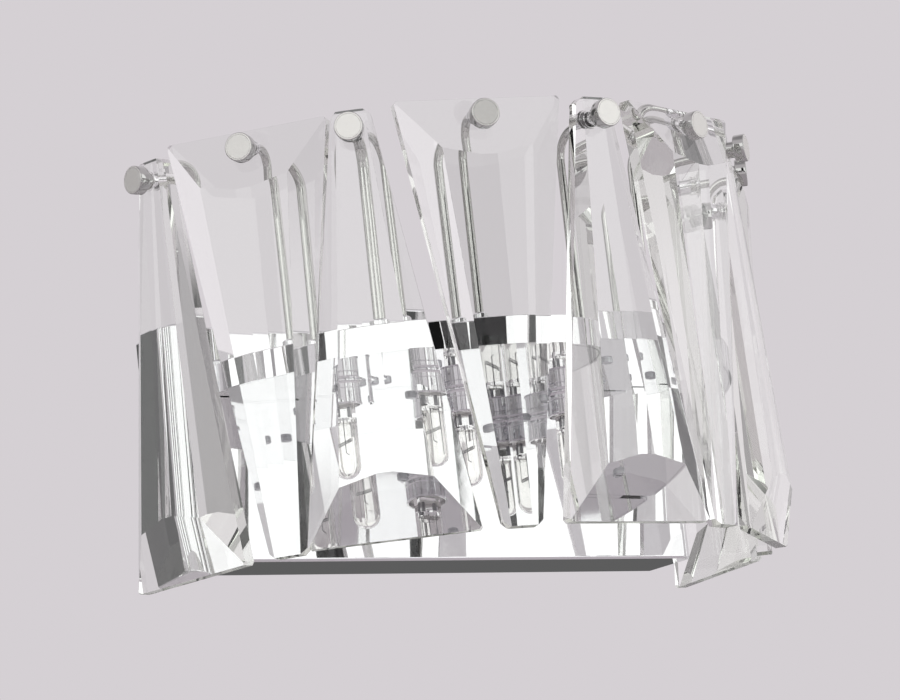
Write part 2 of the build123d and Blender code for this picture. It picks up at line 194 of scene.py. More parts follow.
def polish_group():
    """Fine polishing haze: a roughness and a height that change over the surface."""
    tree, start, end = surface_group(
        "polish_haze",
        {"Scale": 60.0, "Roughness": 0.03, "Spread": 0.02},
        {"Roughness": "NodeSocketFloat", "Height": "NodeSocketFloat"},
    )
    place = add_node(tree, "ShaderNodeTexCoord")
    cloud = add_node(tree, "ShaderNodeTexNoise")
    cloud.inputs["Detail"].default_value = 4.0
    link(tree, place.outputs["Object"], cloud.inputs["Vector"])
    link(tree, start.outputs["Scale"], cloud.inputs["Scale"])
    centred = add_node(tree, "ShaderNodeMath", operation="SUBTRACT")
    centred.inputs[1].default_value = 0.5
    link(tree, cloud.outputs["Fac"], centred.inputs[0])
    spread = add_node(tree, "ShaderNodeMath", operation="MULTIPLY_ADD")
    link(tree, centred.outputs[0], spread.inputs[0])
    link(tree, start.outputs["Spread"], spread.inputs[1])
    link(tree, start.outputs["Roughness"], spread.inputs[2])
    link(tree, spread.outputs[0], end.inputs["Roughness"])
    link(tree, cloud.outputs["Fac"], end.inputs["Height"])
    return tree


def grain_group():
    """Mottled grain for cast, moulded and plated surfaces: a mask and a height."""
    tree, start, end = surface_group(
        "fine_grain",
        {"Scale": 900.0, "Patch Scale": 90.0},
        {"Mask": "NodeSocketFloat", "Height": "NodeSocketFloat"},
    )
    place = add_node(tree, "ShaderNodeTexCoord")
    fine = add_node(tree, "ShaderNodeTexNoise")
    patch = add_node(tree, "ShaderNodeTexVoronoi")
    for node, label in ((fine, "Scale"), (patch, "Patch Scale")):
        link(tree, place.outputs["Object"], node.inputs["Vector"])
        link(tree, start.outputs[label], node.inputs["Scale"])
    link(tree, patch.outputs["Distance"], end.inputs["Mask"])
    link(tree, fine.outputs["Fac"], end.inputs["Height"])
    return tree


def place_group(tree, group, **values):
    node = add_node(tree, "ShaderNodeGroup", node_tree=bpy.data.node_groups[group])
    for name, value in values.items():
        node.inputs[name.replace("_", " ")].default_value = value
    return node


def bump(tree, height, shader, strength, distance):
    node = add_node(tree, "ShaderNodeBump")
    node.inputs["Strength"].default_value = strength
    node.inputs["Distance"].default_value = distance
    link(tree, height, node.inputs["Height"])
    link(tree, node.outputs["Normal"], shader.inputs["Normal"])


def mix_colours(tree, mask, first, second):
    node = add_node(tree, "ShaderNodeMix", data_type="RGBA")
    node.inputs[6].default_value = (*first, 1.0)
    node.inputs[7].default_value = (*second, 1.0)
    link(tree, mask, node.inputs[0])
    return node.outputs[2]


# ---- Materials ----


def chrome_material(name, colour):
    material, tree, shader = new_material(name)
    set_plain(shader, Base_Color=colour, Metallic=1.0)
    haze = place_group(tree, "polish_haze", Scale=45.0, Roughness=0.022, Spread=0.02)
    link(tree, haze.outputs["Roughness"], shader.inputs["Roughness"])
    bump(tree, haze.outputs["Height"], shader, 0.02, 0.0004)
    return material


def knob_material(colours):
    material, tree, shader = new_material("turned_knob_metal")
    set_plain(shader, Metallic=1.0)
    haze = place_group(tree, "polish_haze", Scale=700.0, Roughness=0.42, Spread=0.1)
    link(tree, haze.outputs["Roughness"], shader.inputs["Roughness"])
    warm = colours.knob_metal[:]
    shade = tuple(value * 0.9 for value in warm)
    link(tree, mix_colours(tree, haze.outputs["Height"], shade, warm), shader.inputs["Base Color"])
    bump(tree, haze.outputs["Height"], shader, 0.15, 0.0001)
    return material


def crystal_material(colours):
    material, tree, shader = new_material("cut_crystal")
    set_plain(shader, Base_Color=colours.crystal[:], Roughness=0.0, IOR=1.53, Transmission_Weight=1.0)
    absorb = add_node(tree, "ShaderNodeVolumeAbsorption")
    absorb.inputs["Color"].default_value = (0.88, 0.915, 0.83, 1.0)
    absorb.inputs["Density"].default_value = 5.0
    link(tree, absorb.outputs["Volume"], tree.nodes["Material Output"].inputs["Volume"])
    return material


def arris_material(colours):
    """The fine-ground arris round a crystal: glass that scatters a little, faintly yellow-green."""
    material, tree, shader = new_material("ground_arris")
    set_plain(shader, Base_Color=colours.arris[:], IOR=1.53, Transmission_Weight=0.75)
    haze = place_group(tree, "polish_haze", Scale=900.0, Roughness=0.1, Spread=0.12)
    link(tree, haze.outputs["Roughness"], shader.inputs["Roughness"])
    bump(tree, haze.outputs["Height"], shader, 0.2, 0.0001)
    return material


def plain_material(name, colour, roughness, metallic=0.0, grain=900.0, patch=90.0, depth=0.1, shade=0.85):
    """An opaque finish with mottled colour and a fine grain."""
    material, tree, shader = new_material(name)
    set_plain(shader, Roughness=roughness, Metallic=metallic)
    grains = place_group(tree, "fine_grain", Scale=grain, Patch_Scale=patch)
    dark = tuple(value * shade for value in colour)
    link(tree, mix_colours(tree, grains.outputs["Mask"], dark, colour), shader.inputs["Base Color"])
    bump(tree, grains.outputs["Height"], shader, depth, 0.0001)
    return material


def clear_material(name, colour, ior, roughness):
    material, tree, shader = new_material(name)
    set_plain(shader, Base_Color=colour, Roughness=roughness, IOR=ior, Transmission_Weight=1.0)
    haze = place_group(tree, "polish_haze", Scale=120.0, Roughness=roughness, Spread=0.01)
    bump(tree, haze.outputs["Height"], shader, 0.03, 0.0002)
    return material


def make_materials(colours):
    polish_group()
    grain_group()
    return {
        "chrome": chrome_material("polished_chrome", colours.chrome[:]),
        # The knob sides' darker chrome is painted shade, a darkened copy of the same plating.
        "knob_flank_painted_dark": chrome_material("turned_knob_flank_painted_dark", colours.knob_flank_painted_dark[:]),
        # The rods' darker chrome is painted shade for their darker reflections.
        "rod_chrome": chrome_material("rod_plating_darkened_for_shade", colours.rod_chrome[:]),
        "knob": knob_material(colours),
        "crystal": crystal_material(colours),
        "arris": arris_material(colours),
        "clear_plastic": clear_material("clear_nylon", (0.96, 0.96, 0.95), 1.49, 0.05),
        "bulb_glass": clear_material("lamp_glass", (0.99, 0.985, 0.97), 1.47, 0.0),
        "ceramic": plain_material("glazed_ceramic", (0.86, 0.85, 0.82), 0.28, depth=0.05, shade=0.95),
        "zinc_steel": plain_material("zinc_steel", (0.62, 0.63, 0.65), 0.32, 1.0, 700.0, 160.0, 0.08, 0.78),
        "pin_wire": plain_material("nickel_wire", (0.66, 0.64, 0.6), 0.25, 1.0),
        "tungsten": plain_material("tungsten_wire", (0.3, 0.3, 0.32), 0.35, 1.0),
        "brass": plain_material("plain_brass", (0.72, 0.53, 0.24), 0.28, 1.0),
        "terminal_plastic": plain_material("terminal_plastic", (0.8, 0.79, 0.76), 0.42, depth=0.12),
        "rubber": plain_material("moulded_rubber", (0.02, 0.02, 0.02), 0.62, depth=0.2),
        "lead_insulation": plain_material("lead_sleeve", (0.78, 0.77, 0.74), 0.5, depth=0.08),
    }


def finish(obj, material, body=ROOT_BODY, stands_for=()):
    """Gives a finished piece its material and body, and hides the frame nodes that it stands for."""
    obj.data.materials.clear()
    obj.data.materials.append(material)
    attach(obj, body)
    if stands_for:
        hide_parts(*stands_for)


def new_object(name, mesh):
    obj = bpy.data.objects.new(name, mesh)
    bpy.context.scene.collection.objects.link(obj)
    return obj


def applied_copy(obj, name):
    """The object with its modifiers turned into a plain mesh of its own."""
    bpy.context.view_layer.update()
    graph = bpy.context.evaluated_depsgraph_get()
    mesh = bpy.data.meshes.new_from_object(obj.evaluated_get(graph), depsgraph=graph)
    mesh.name = name
    made = new_object(name, mesh)
    old = obj.data
    bpy.data.objects.remove(obj)
    if old.users == 0:
        bpy.data.batch_remove([old])
    return made


def station_matrix(number):
    """The front plane of one crystal: x to its right, y up, z outwards, origin on the pin."""
    swing = SWINGS[number]
    outward = Vector(swing["axis"])
    across = Vector((-outward.y, outward.x, 0.0))
    columns = Matrix((across, Vector((0, 0, 1)), outward)).transposed().to_4x4()
    return Matrix.Translation(Vector(swing["pos_m"])) @ columns


# ---- Crystals ----

SHOULDER_HALF_WIDTH = 21.7 * MM
SHOULDER_RUN = 25.0 * MM
SHOULDER_HEIGHT = 9.5 * MM
TABLE_HALF_WIDTH = 3.75 * MM
TABLE_HEIGHT = 11.3 * MM
TABLE_END_HEIGHT = 2.0 * MM
WIDE_CLIP = 1.5 * MM
NARROW_CLIP = 2.6 * MM
PIN_DROP = 9.7 * MM
PIN_HOLE_RADIUS = 2.77 * MM
ROD_SETBACK = 30.0 * MM
ROD_TIP_REACH = 9.9 * MM
SEAT_RADIUS = 4.7 * MM
SEAT_HEIGHT = 1.5 * MM


def crystal_outline(sizes):
    """The tapered outline, wide end at y = 0, with its corners clipped."""
    wide, narrow = sizes.crystal_wide / 2, sizes.crystal_narrow / 2
    lean = (wide - narrow) / sizes.crystal_length
    right = [
        (wide - WIDE_CLIP, 0.0),
        (wide - lean * WIDE_CLIP, WIDE_CLIP),
        (narrow + lean * NARROW_CLIP, sizes.crystal_length - NARROW_CLIP),
        (narrow - NARROW_CLIP, sizes.crystal_length),
    ]
    return right + [(-x, y) for x, y in reversed(right)]


def crown_planes(sizes):
    """Every cutting plane of the faceted front as a point and an outward normal."""
    length = sizes.crystal_length
    fall = (TABLE_HEIGHT - TABLE_END_HEIGHT) / (length - SHOULDER_RUN)
    start = TABLE_HEIGHT + fall * SHOULDER_RUN
    triples = [
        ((-1, 0, 0), (1, 0, 0), (0, SHOULDER_RUN, SHOULDER_HEIGHT)),
        ((-1, 0, start), (1, 0, start), (0, length, TABLE_END_HEIGHT)),
    ]
    for side in (-1, 1):
        shoulder = (side * SHOULDER_HALF_WIDTH, SHOULDER_RUN, SHOULDER_HEIGHT)
        wide_corner = (side * sizes.crystal_wide / 2, 0, 0)
        narrow_corner = (side * sizes.crystal_narrow / 2, length, 0)
        table_edge = (side * TABLE_HALF_WIDTH, 0, start)
        table_tip = (side * TABLE_HALF_WIDTH, length, TABLE_END_HEIGHT)
        triples += [(wide_corner, narrow_corner, shoulder), (table_edge, table_tip, shoulder)]
    planes = []
    for first, second, third in triples:
        first, second, third = Vector(first), Vector(second), Vector(third)
        normal = (second - first).cross(third - first).normalized()
        planes.append((first, normal if normal.z > 0 else -normal))
    return planes


def crystal_blank(sizes):
    """The faceted slab before drilling, as a bmesh."""
    mesh = bmesh.new()
    outline = crystal_outline(sizes)
    back = [mesh.verts.new((x, y, -sizes.crystal_girdle)) for x, y in outline]
    front = [mesh.verts.new((x, y, 2 * TABLE_HEIGHT)) for x, y in outline]
    mesh.faces.new(list(reversed(back)))
    mesh.faces.new(front)
    count = len(outline)
    for index in range(count):
        after = (index + 1) % count
        mesh.faces.new((back[index], back[after], front[after], front[index]))
    for point, normal in crown_planes(sizes):
        cut = bmesh.ops.bisect_plane(
            mesh, geom=mesh.verts[:] + mesh.edges[:] + mesh.faces[:], plane_co=point, plane_no=normal,
            clear_outer=True,
        )
        edges = [item for item in cut["geom_cut"] if isinstance(item, bmesh.types.BMEdge)]
        bmesh.ops.contextual_create(mesh, geom=edges)
    bmesh.ops.remove_doubles(mesh, verts=mesh.verts[:], dist=1e-7)
    bmesh.ops.recalc_face_normals(mesh, faces=mesh.faces[:])
    return mesh


def lathe(name, profile, segments):
    """A closed turned mesh about z from (radius, height) pairs, first and last on the axis or joined."""
    mesh = bmesh.new()
    rings = []
    for radius, height in profile:
        if radius < 1e-9:
            rings.append([mesh.verts.new((0, 0, height))])
        else:
            turns = [tau * step / segments for step in range(segments)]
            rings.append([
                mesh.verts.new((radius * cos(turn), radius * sin(turn), height)) for turn in turns
            ])
    hollow = len(rings[0]) > 1
    pairs = list(zip(rings, rings[1:] + rings[:1])) if hollow else list(zip(rings, rings[1:]))
    for lower, upper in pairs:
        for step in range(segments):
            after = (step + 1) % segments
            corners = [lower[step % len(lower)], lower[after % len(lower)]]
            corners += [upper[after % len(upper)], upper[step % len(upper)]]
            mesh.faces.new(list(dict.fromkeys(corners)))
    bmesh.ops.recalc_face_normals(mesh, faces=mesh.faces[:])
    data = bpy.data.meshes.new(name)
    mesh.to_mesh(data)
    mesh.free()
    return data


def drill(segments=64):
    """The stepped cutter for the pin hole and its seat."""
    reach = 30.0 * MM
    profile = [
        (0.0, -reach), (PIN_HOLE_RADIUS, -reach), (PIN_HOLE_RADIUS, SEAT_HEIGHT),
        (SEAT_RADIUS, SEAT_HEIGHT), (SEAT_RADIUS, reach), (0.0, reach),
    ]
    return new_object("pin_drill", lathe("pin_drill", profile, segments))


def cut_crystal(number, sizes, cutter):
    blank = crystal_blank(sizes)
    if number % 2 == 0:
        turn = Matrix.Translation((0, PIN_DROP, 0)) @ Matrix.Rotation(pi, 4, "Z")
    else:
        turn = Matrix.Translation((0, PIN_DROP - sizes.crystal_length, 0))
    blank.transform(turn)
    data = bpy.data.meshes.new("blank")
    blank.to_mesh(data)
    blank.free()
    data.materials.append(MATERIALS["crystal"])
    data.materials.append(MATERIALS["arris"])
    slab = new_object("blank", data)
    hole = slab.modifiers.new("hole", "BOOLEAN")
    hole.object, hole.operation, hole.solver = cutter, "DIFFERENCE", "EXACT"
    arris = slab.modifiers.new("arris", "BEVEL")
    arris.width, arris.segments, arris.limit_method = sizes.arris, 1, "ANGLE"
    arris.angle_limit, arris.material = radians(24), 1
    crystal = applied_copy(slab, f"cut_crystal_{number}")
    crystal.data.transform(station_matrix(number))
    smooth_bores(crystal.data, number)
    return crystal


def smooth_bores(mesh, number):
    """Shades the drilled walls smooth and leaves every facet flat."""
    mesh.set_sharp_from_angle(angle=radians(20))
    inverse = station_matrix(number).inverted()
    for face in mesh.polygons:
        centre = inverse @ face.center
        normal = inverse.to_3x3() @ face.normal
        near = Vector((centre.x, centre.y)).length < SEAT_RADIUS * 1.05
        face.use_smooth = near and abs(normal.z) < 0.2


# ---- Geometry Nodes helpers ----


def node_tree(name, inputs):
    """A Geometry Nodes tree with a geometry input and output and the named inputs."""
    tree = bpy.data.node_groups.new(name, "GeometryNodeTree")
    tree.interface.new_socket(name="Geometry", in_out="INPUT", socket_type="NodeSocketGeometry")
    ids = {}
    for label, (kind, default) in inputs.items():
        socket = tree.interface.new_socket(name=label, in_out="INPUT", socket_type=kind)
        if default is not None:
            socket.default_value = default
        ids[label] = socket.identifier
    tree.interface.new_socket(name="Geometry", in_out="OUTPUT", socket_type="NodeSocketGeometry")
    return tree, tree.nodes.new("NodeGroupInput"), tree.nodes.new("NodeGroupOutput"), ids


def close_tree(tree, geometry, start, end):
    """Ends a tree in Realize Instances and Set Material."""
    real = add_node(tree, "GeometryNodeRealizeInstances")
    paint = add_node(tree, "GeometryNodeSetMaterial")
    link(tree, geometry, real.inputs["Geometry"])
    link(tree, real.outputs["Geometry"], paint.inputs["Geometry"])
    link(tree, start.outputs["Material"], paint.inputs["Material"])
    link(tree, paint.outputs["Geometry"], end.inputs["Geometry"])


def rod_tree():
    """A bent round bar: a path's corners are filleted and a circle is swept along it."""
    tree, start, end, ids = node_tree("bent_rod", {
        "Rod Radius": ("NodeSocketFloat", 0.002),
        "Bend Radius": ("NodeSocketFloat", 0.013),
        "Material": ("NodeSocketMaterial", None),
    })
    path = add_node(tree, "GeometryNodeMeshToCurve")
    bend = add_node(tree, "GeometryNodeFilletCurve", mode="POLY")
    bend.inputs["Count"].default_value = 24
    ring = add_node(tree, "GeometryNodeCurvePrimitiveCircle")
    ring.inputs["Resolution"].default_value = 32
    sweep = add_node(tree, "GeometryNodeCurveToMesh")
    sweep.inputs["Fill Caps"].default_value = True
    link(tree, start.outputs["Geometry"], path.inputs["Mesh"])
    link(tree, path.outputs["Curve"], bend.inputs["Curve"])
    link(tree, start.outputs["Bend Radius"], bend.inputs["Radius"])
    link(tree, bend.outputs["Curve"], sweep.inputs["Curve"])
    link(tree, start.outputs["Rod Radius"], ring.inputs["Radius"])
    link(tree, ring.outputs["Curve"], sweep.inputs["Profile Curve"])
    close_tree(tree, sweep.outputs["Mesh"], start, end)
    return tree, ids


def ring_tree():
    """Repeats one turned part on every pin of the ring."""
    tree, start, end, ids = node_tree("parts_on_pins", {
        "Part": ("NodeSocketObject", None),
        "Material": ("NodeSocketMaterial", None),
    })
    part = add_node(tree, "GeometryNodeObjectInfo")
    link(tree, start.outputs["Part"], part.inputs["Object"])
    turn = add_node(tree, "GeometryNodeInputNamedAttribute", data_type="FLOAT_VECTOR")
    turn.inputs["Name"].default_value = "outward"
    align = add_node(tree, "FunctionNodeAlignRotationToVector", axis="Z")
    link(tree, turn.outputs["Attribute"], align.inputs["Vector"])
    spread = add_node(tree, "GeometryNodeInstanceOnPoints")
    link(tree, start.outputs["Geometry"], spread.inputs["Points"])
    link(tree, part.outputs["Geometry"], spread.inputs["Instance"])
    link(tree, align.outputs["Rotation"], spread.inputs["Rotation"])
    close_tree(tree, spread.outputs["Instances"], start, end)
    return tree, ids


def grow(name, mesh, tree, ids, values):
    """Runs a tree over a mesh and gives back the plain result."""
    source = new_object(name + "_source", mesh)
    modifier = source.modifiers.new("grow", "NODES")
    modifier.node_group = tree
    for label, value in values.items():
        modifier[ids[label]] = value
    return applied_copy(source, name)


def line_mesh(name, points):
    mesh = bpy.data.meshes.new(name)
    mesh.from_pydata(points, [(i, i + 1) for i in range(len(points) - 1)], [])
    return mesh


def facing_points(name, points, facings):
    """A mesh of loose points, each with the way that a part on it faces."""
    mesh = bpy.data.meshes.new(name)
    mesh.from_pydata(points, [], [])
    outward = mesh.attributes.new("outward", "FLOAT_VECTOR", "POINT")
    for index, facing in enumerate(facings):
        outward.data[index].vector = facing
    return mesh


def rod_foot(number):
    """Where the upright part of one rod stands."""
    swing = SWINGS[number]
    return Vector(swing["pos_m"]) - Vector(swing["axis"]) * ROD_SETBACK


# ---- Operators ----


MATERIALS = {}


class SCONCE_OT_mix_finishes(bpy.types.Operator):
    """Make every finish the sconce uses"""

    bl_idname = "sconce.mix_finishes"
    bl_label = "Mix Finishes"

    def execute(self, context):
        MATERIALS.update(make_materials(context.scene.sconce_colours))
        return {"FINISHED"}


class SCONCE_OT_cut_crystals(bpy.types.Operator):
    """Cut the nine faceted crystals and hang each on its own body"""

    bl_idname = "sconce.cut_crystals"
    bl_label = "Cut Crystals"

    def execute(self, context):
        sizes = context.scene.sconce_sizes
        cutter = drill()
        for number in STATIONS:
            crystal = cut_crystal(number, sizes, cutter)
            body = SWINGS[number]["child"]
            finish(crystal, MATERIALS["crystal"], body, [f"crystal_{number}"])
            crystal.data.materials.append(MATERIALS["arris"])
        bpy.data.objects.remove(cutter)
        return {"FINISHED"}


class SCONCE_OT_bend_rods(bpy.types.Operator):
    """Bend the nine rods from the deck up and out through the crystals"""

    bl_idname = "sconce.bend_rods"
    bl_label = "Bend Rods"

    def execute(self, context):
        sizes = context.scene.sconce_sizes
        tree, ids = rod_tree()
        for number in STATIONS:
            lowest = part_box(f"rod_{number}")[0]
            foot = rod_foot(number)
            swing = SWINGS[number]
            outward = Vector(swing["axis"])
            corner = Vector((foot.x, foot.y, swing["pos_m"][2]))
            tip = Vector(swing["pos_m"]) + outward * ROD_TIP_REACH
            points = [(foot.x, foot.y, lowest[2]), corner[:], tip[:]]
            # The rods take the darker chrome, which is painted shade.
            values = {
                "Rod Radius": sizes.rod_radius,
                "Bend Radius": sizes.rod_bend,
                "Material": MATERIALS["rod_chrome"],
            }
            rod = grow(f"bent_rod_{number}", line_mesh("rod_path", points), tree, ids, values)
            soften(rod.data, 40)
            finish(rod, MATERIALS["rod_chrome"], ROOT_BODY, [f"rod_{number}"])
        return {"FINISHED"}


def soften(mesh, angle):
    for face in mesh.polygons:
        face.use_smooth = True
    mesh.set_sharp_from_angle(angle=radians(angle))


# A knob's face is where its normal is this close to the way the knob faces; the other faces keep the darker
# chrome of painted shade.
FACE_LIMIT = 0.9


def knob_profile(radius):
    """Half the section of one cap nut along its pin axis, a blind bore at its back."""
    face, inner, neck, bore = 12.0 * MM, 6.4 * MM, 4.0 * MM, 2.02 * MM
    start, floor, round_over = 2.4 * MM, 10.0 * MM, 0.5 * MM
    rounded = [
        (radius - round_over * (1 - cos(turn)), face - round_over * (1 - sin(turn)))
        for turn in (0, pi / 8, pi / 4, 3 * pi / 8, pi / 2)
    ]
    lower = [(x, face + inner - z) for x, z in reversed(rounded)]
    groove = [(radius * 0.86, face), (radius * 0.85, face - 0.06 * MM), (radius * 0.84, face)]
    return (
        [(0.0, floor), (bore, floor), (bore, start), (neck, start), (neck, inner)]
        + lower + rounded + groove + [(0.0, face)]
    )


class SCONCE_OT_turn_knobs(bpy.types.Operator):
    """Turn the nine cap knobs that close the rods"""

    bl_idname = "sconce.turn_knobs"
    bl_label = "Turn Knobs"

    def execute(self, context):
        sizes = context.scene.sconce_sizes
        tree, ids = ring_tree()
        part = new_object("knob_blank", lathe("knob_blank", knob_profile(sizes.knob_radius), 64))
        # The knobs' sides take the darker chrome, which is painted shade.
        values = {"Part": part, "Material": MATERIALS["knob_flank_painted_dark"]}
        pins = [SWINGS[number]["pos_m"] for number in STATIONS]
        facings = [SWINGS[number]["axis"] for number in STATIONS]
        knobs = grow("turned_knobs", facing_points("knob_pins", pins, facings), tree, ids, values)
        soften(knobs.data, 30)
        finish(knobs, MATERIALS["knob_flank_painted_dark"], ROOT_BODY, ["knobs"])
        knobs.data.materials.append(MATERIALS["knob"])
        for face in knobs.data.polygons:
            near = min(pins, key=lambda pin: (Vector(pin) - face.center).length)
            facing = Vector(facings[pins.index(near)])
            if face.normal.dot(facing) > FACE_LIMIT:
                face.material_index = 1
        bpy.data.objects.remove(part)
        return {"FINISHED"}


def cup_profile():
    """Half the section of a lamp cup: a flange on the deck floor and a rolled lip at its mouth."""
    inner, outer, flange, height = 9.02 * MM, 9.7 * MM, 11.6 * MM, 11.6 * MM
    lip = [
        (outer + 0.45 * MM * sin(turn), height - 0.45 * MM + 0.45 * MM * cos(turn))
        for turn in (pi, 3 * pi / 4, pi / 2, pi / 4, 0)
    ]
    groove = [(outer, 3.6 * MM), (outer - 0.25 * MM, 3.9 * MM), (outer, 4.2 * MM)]
    foot = [(inner, 0.0), (flange - 0.3 * MM, 0.0), (flange, 0.3 * MM), (flange - 0.1 * MM, 0.75 * MM)]
    waist = [(outer + 0.6 * MM, 1.0 * MM), (outer, 1.8 * MM)]
    return foot + waist + groove + lip + [(inner, height)]


# ---- Inside of the lamps, measured from a capsule's axis and from its mouth ----

FILAMENT_WIRE = 0.14 * MM
SUPPORT_WIRE = 0.22 * MM
FILAMENT_HALF_SPAN = 4.2 * MM
FILAMENT_RADIUS = 0.75 * MM
FILAMENT_SLANT = 3.4 * MM
FILAMENT_FROM_TIP = 9.0 * MM
FILAMENT_FROM_MOUTH = 10.5 * MM
FOIL_SIZE = (2.0 * MM, 0.08 * MM, 5.2 * MM)
FOIL_SIDE = 3.1 * MM
FOIL_FROM_MOUTH = 4.4 * MM
FOIL_CORNER = 0.5 * MM


def filament(centre, low, high, turns):
    """A coiled wire held slantwise between two straight legs."""
    steps = turns * 12
    half, radius = FILAMENT_HALF_SPAN, FILAMENT_RADIUS
    middle = (low + high) / 2
    points = [(centre.x - half, centre.y, high)]
    for step in range(steps + 1):
        share = step / steps
        turn = tau * turns * share
        along = centre.x - half + 2 * half * share
        rise = middle + FILAMENT_SLANT * (share - 0.5)
        points.append((along, centre.y + radius * sin(turn), rise + radius * cos(turn)))
    return points + [(centre.x + half, centre.y, high)]


def lamp_wires(centre, mouth):
    """The straight supports inside one capsule: a hook under the coil and the two foils' stems."""
    reach, inset = 4.6 * MM, 2.6 * MM
    stem, hook = mouth - 8.2 * MM, mouth - 24.0 * MM
    hook_end = (centre.x + 1.6 * MM, centre.y, hook - 1.0 * MM)
    routes = [[(centre.x, centre.y, stem), (centre.x, centre.y, hook), hook_end]]
    for side in (-1, 1):
        upper = (centre.x + side * reach, centre.y, mouth - inset)
        routes.append([upper, (centre.x + side * FILAMENT_HALF_SPAN, centre.y, stem - inset)])
    return routes


def foil_mesh(centre, mouth):
    """The two thin foils sealed into one capsule's pinch."""
    mesh = bmesh.new()
    for side in (-1, 1):
        place = Matrix.Translation((centre.x + side * FOIL_SIDE, centre.y, mouth - FOIL_FROM_MOUTH))
        size = Matrix.Diagonal((*FOIL_SIZE, 1.0))
        made = bmesh.ops.create_cube(mesh, size=1.0, matrix=place @ size)
        edges = {edge for vert in made["verts"] for edge in vert.link_edges}
        upright = [edge for edge in edges if abs(edge.verts[0].co.y - edge.verts[1].co.y) > 1e-6]
        bmesh.ops.bevel(mesh, geom=upright, offset=FOIL_CORNER, segments=3, affect="EDGES", profile=0.5)
    data = bpy.data.meshes.new("foils")
    mesh.to_mesh(data)
    mesh.free()
    return data


class SCONCE_OT_dress_lamps(bpy.types.Operator):
    """Put a filament, its supports and foils into each capsule and a cup round its holder"""

    bl_idname = "sconce.dress_lamps"
    bl_label = "Dress Lamps"

    def execute(self, context):
        sizes = context.scene.sconce_sizes
        tree, ids = rod_tree()
        mouths = []
        for number in (1, 2, 3):
            lowest, highest = (Vector(corner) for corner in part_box(f"bulb_{number}"))
            centre, mouth = (lowest + highest) / 2, highest.z
            mouths.append((centre.x, centre.y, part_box("deck_floor")[0][2]))
            low, high = lowest.z + FILAMENT_FROM_TIP, mouth - FILAMENT_FROM_MOUTH
            points = filament(centre, low, high, sizes.filament_turns)
            values = {"Rod Radius": FILAMENT_WIRE, "Bend Radius": 0.0, "Material": MATERIALS["tungsten"]}
            wire = grow(f"filament_{number}", line_mesh("filament_path", points), tree, ids, values)
            soften(wire.data, 50)
            finish(wire, MATERIALS["tungsten"], ROOT_BODY)
            values["Rod Radius"] = SUPPORT_WIRE
            for index, route in enumerate(lamp_wires(centre, mouth), 1):
                name = f"support_{number}_{index}"
                support = grow(name, line_mesh("support_path", route), tree, ids, values)
                soften(support.data, 50)
                finish(support, MATERIALS["tungsten"], ROOT_BODY)
            foils = new_object(f"foils_{number}", foil_mesh(centre, mouth))
            finish(foils, MATERIALS["tungsten"], ROOT_BODY)
        self.add_cups(mouths)
        return {"FINISHED"}

    def add_cups(self, mouths):
        tree, ids = ring_tree()
        part = new_object("cup_blank", lathe("cup_blank", cup_profile(), 72))
        values = {"Part": part, "Material": MATERIALS["chrome"]}
        points = facing_points("cup_points", mouths, [(0, 0, -1)] * len(mouths))
        cups = grow("lamp_cups", points, tree, ids, values)
        soften(cups.data, 30)
        finish(cups, MATERIALS["chrome"], ROOT_BODY)
        bpy.data.objects.remove(part)


class SCONCE_OT_dress_metalwork(bpy.types.Operator):
    """Give the frame's own nodes their finishes"""

    bl_idname = "sconce.dress_metalwork"
    bl_label = "Dress Metalwork"

    def execute(self, context):
        slots = {row["node"]: row["material_slot"] for row in frame["record"]["subparts"]}
        for node, obj in frame["nodes"].items():
            material = MATERIALS[slots[node]]
            obj.data.materials.clear()
            obj.data.materials.append(material)
        return {"FINISHED"}


# ---- Stage ----


# Brightness of the studio's panels: black flags, darker gaps, the pale room and softboxes.
FLAG, GAP, SHADE, ROOM, PALE, SOFTBOX = 0.01, 0.12, 0.38, 0.64, 0.78, 1.45

# Panels of the studio round the sconce: azimuth of the edge in degrees, from straight in
# front towards the viewer's right, and the brightness from that edge to the next one.
STUDIO_PANELS = [
    (-180, ROOM), (-158, GAP), (-142, ROOM), (-133, SHADE), (-128, SOFTBOX), (-124, GAP), (-117, ROOM),
    (-112, SHADE), (-107, SOFTBOX), (-98, SHADE), (-94, GAP), (-91, SOFTBOX), (-80, FLAG), (-75, SOFTBOX),
    (-71, GAP), (-68, SOFTBOX), (-35, FLAG), (-29, SOFTBOX), (-17, FLAG), (6, SOFTBOX), (11, FLAG),
    (15, SOFTBOX), (46, ROOM), (64, GAP), (67, SOFTBOX), (75, PALE), (104, ROOM), (113, PALE), (124, ROOM),
]
TABLE_PANELS = [
    (-180, SHADE), (-60, ROOM), (-30, GAP), (-26, SOFTBOX), (-12, GAP), (-9, SOFTBOX), (8, GAP),
    (10, SOFTBOX), (20, ROOM), (34, GAP), (37, SOFTBOX), (46, SHADE), (60, ROOM), (78, GAP), (80, SOFTBOX),
    (92, SHADE), (110, PALE), (130, ROOM),
]
LOWER_PANELS = [
    (-180, SHADE), (-60, PALE), (-20, SHADE), (-8, GAP), (-5, SOFTBOX), (3, SHADE), (9, GAP),
    (11, SOFTBOX), (26, GAP), (28, SOFTBOX), (38, SHADE), (48, GAP), (51, SOFTBOX), (60, ROOM),
    (122, GAP), (160, SHADE),
]
OVERHEAD = 0.74

# Heights of the viewing direction between which one band of the studio gives way to the next.
TABLE_EDGE = (0.07, 0.04)
LOWER_EDGE = (-0.08, -0.1)
OVERHEAD_EDGE = (0.42, 0.6)
ZENITH_EDGE = (0.82, 0.99)

LILAC_TINT = (1.02, 0.97, 1.01)
FLOOR_RADIUS, FLOOR_HEIGHT = 2.4, -0.8
CAMERA_PLACE = (-1.24253, -1.84457, -0.37934)
CAMERA_YAW, CAMERA_PITCH, CAMERA_ROLL = 34.722, 10.988, -6.237
CAMERA_LENS_PIXELS = 4579.6
IMAGE_WIDTH = 900
SENSOR_WIDTH = 36.0


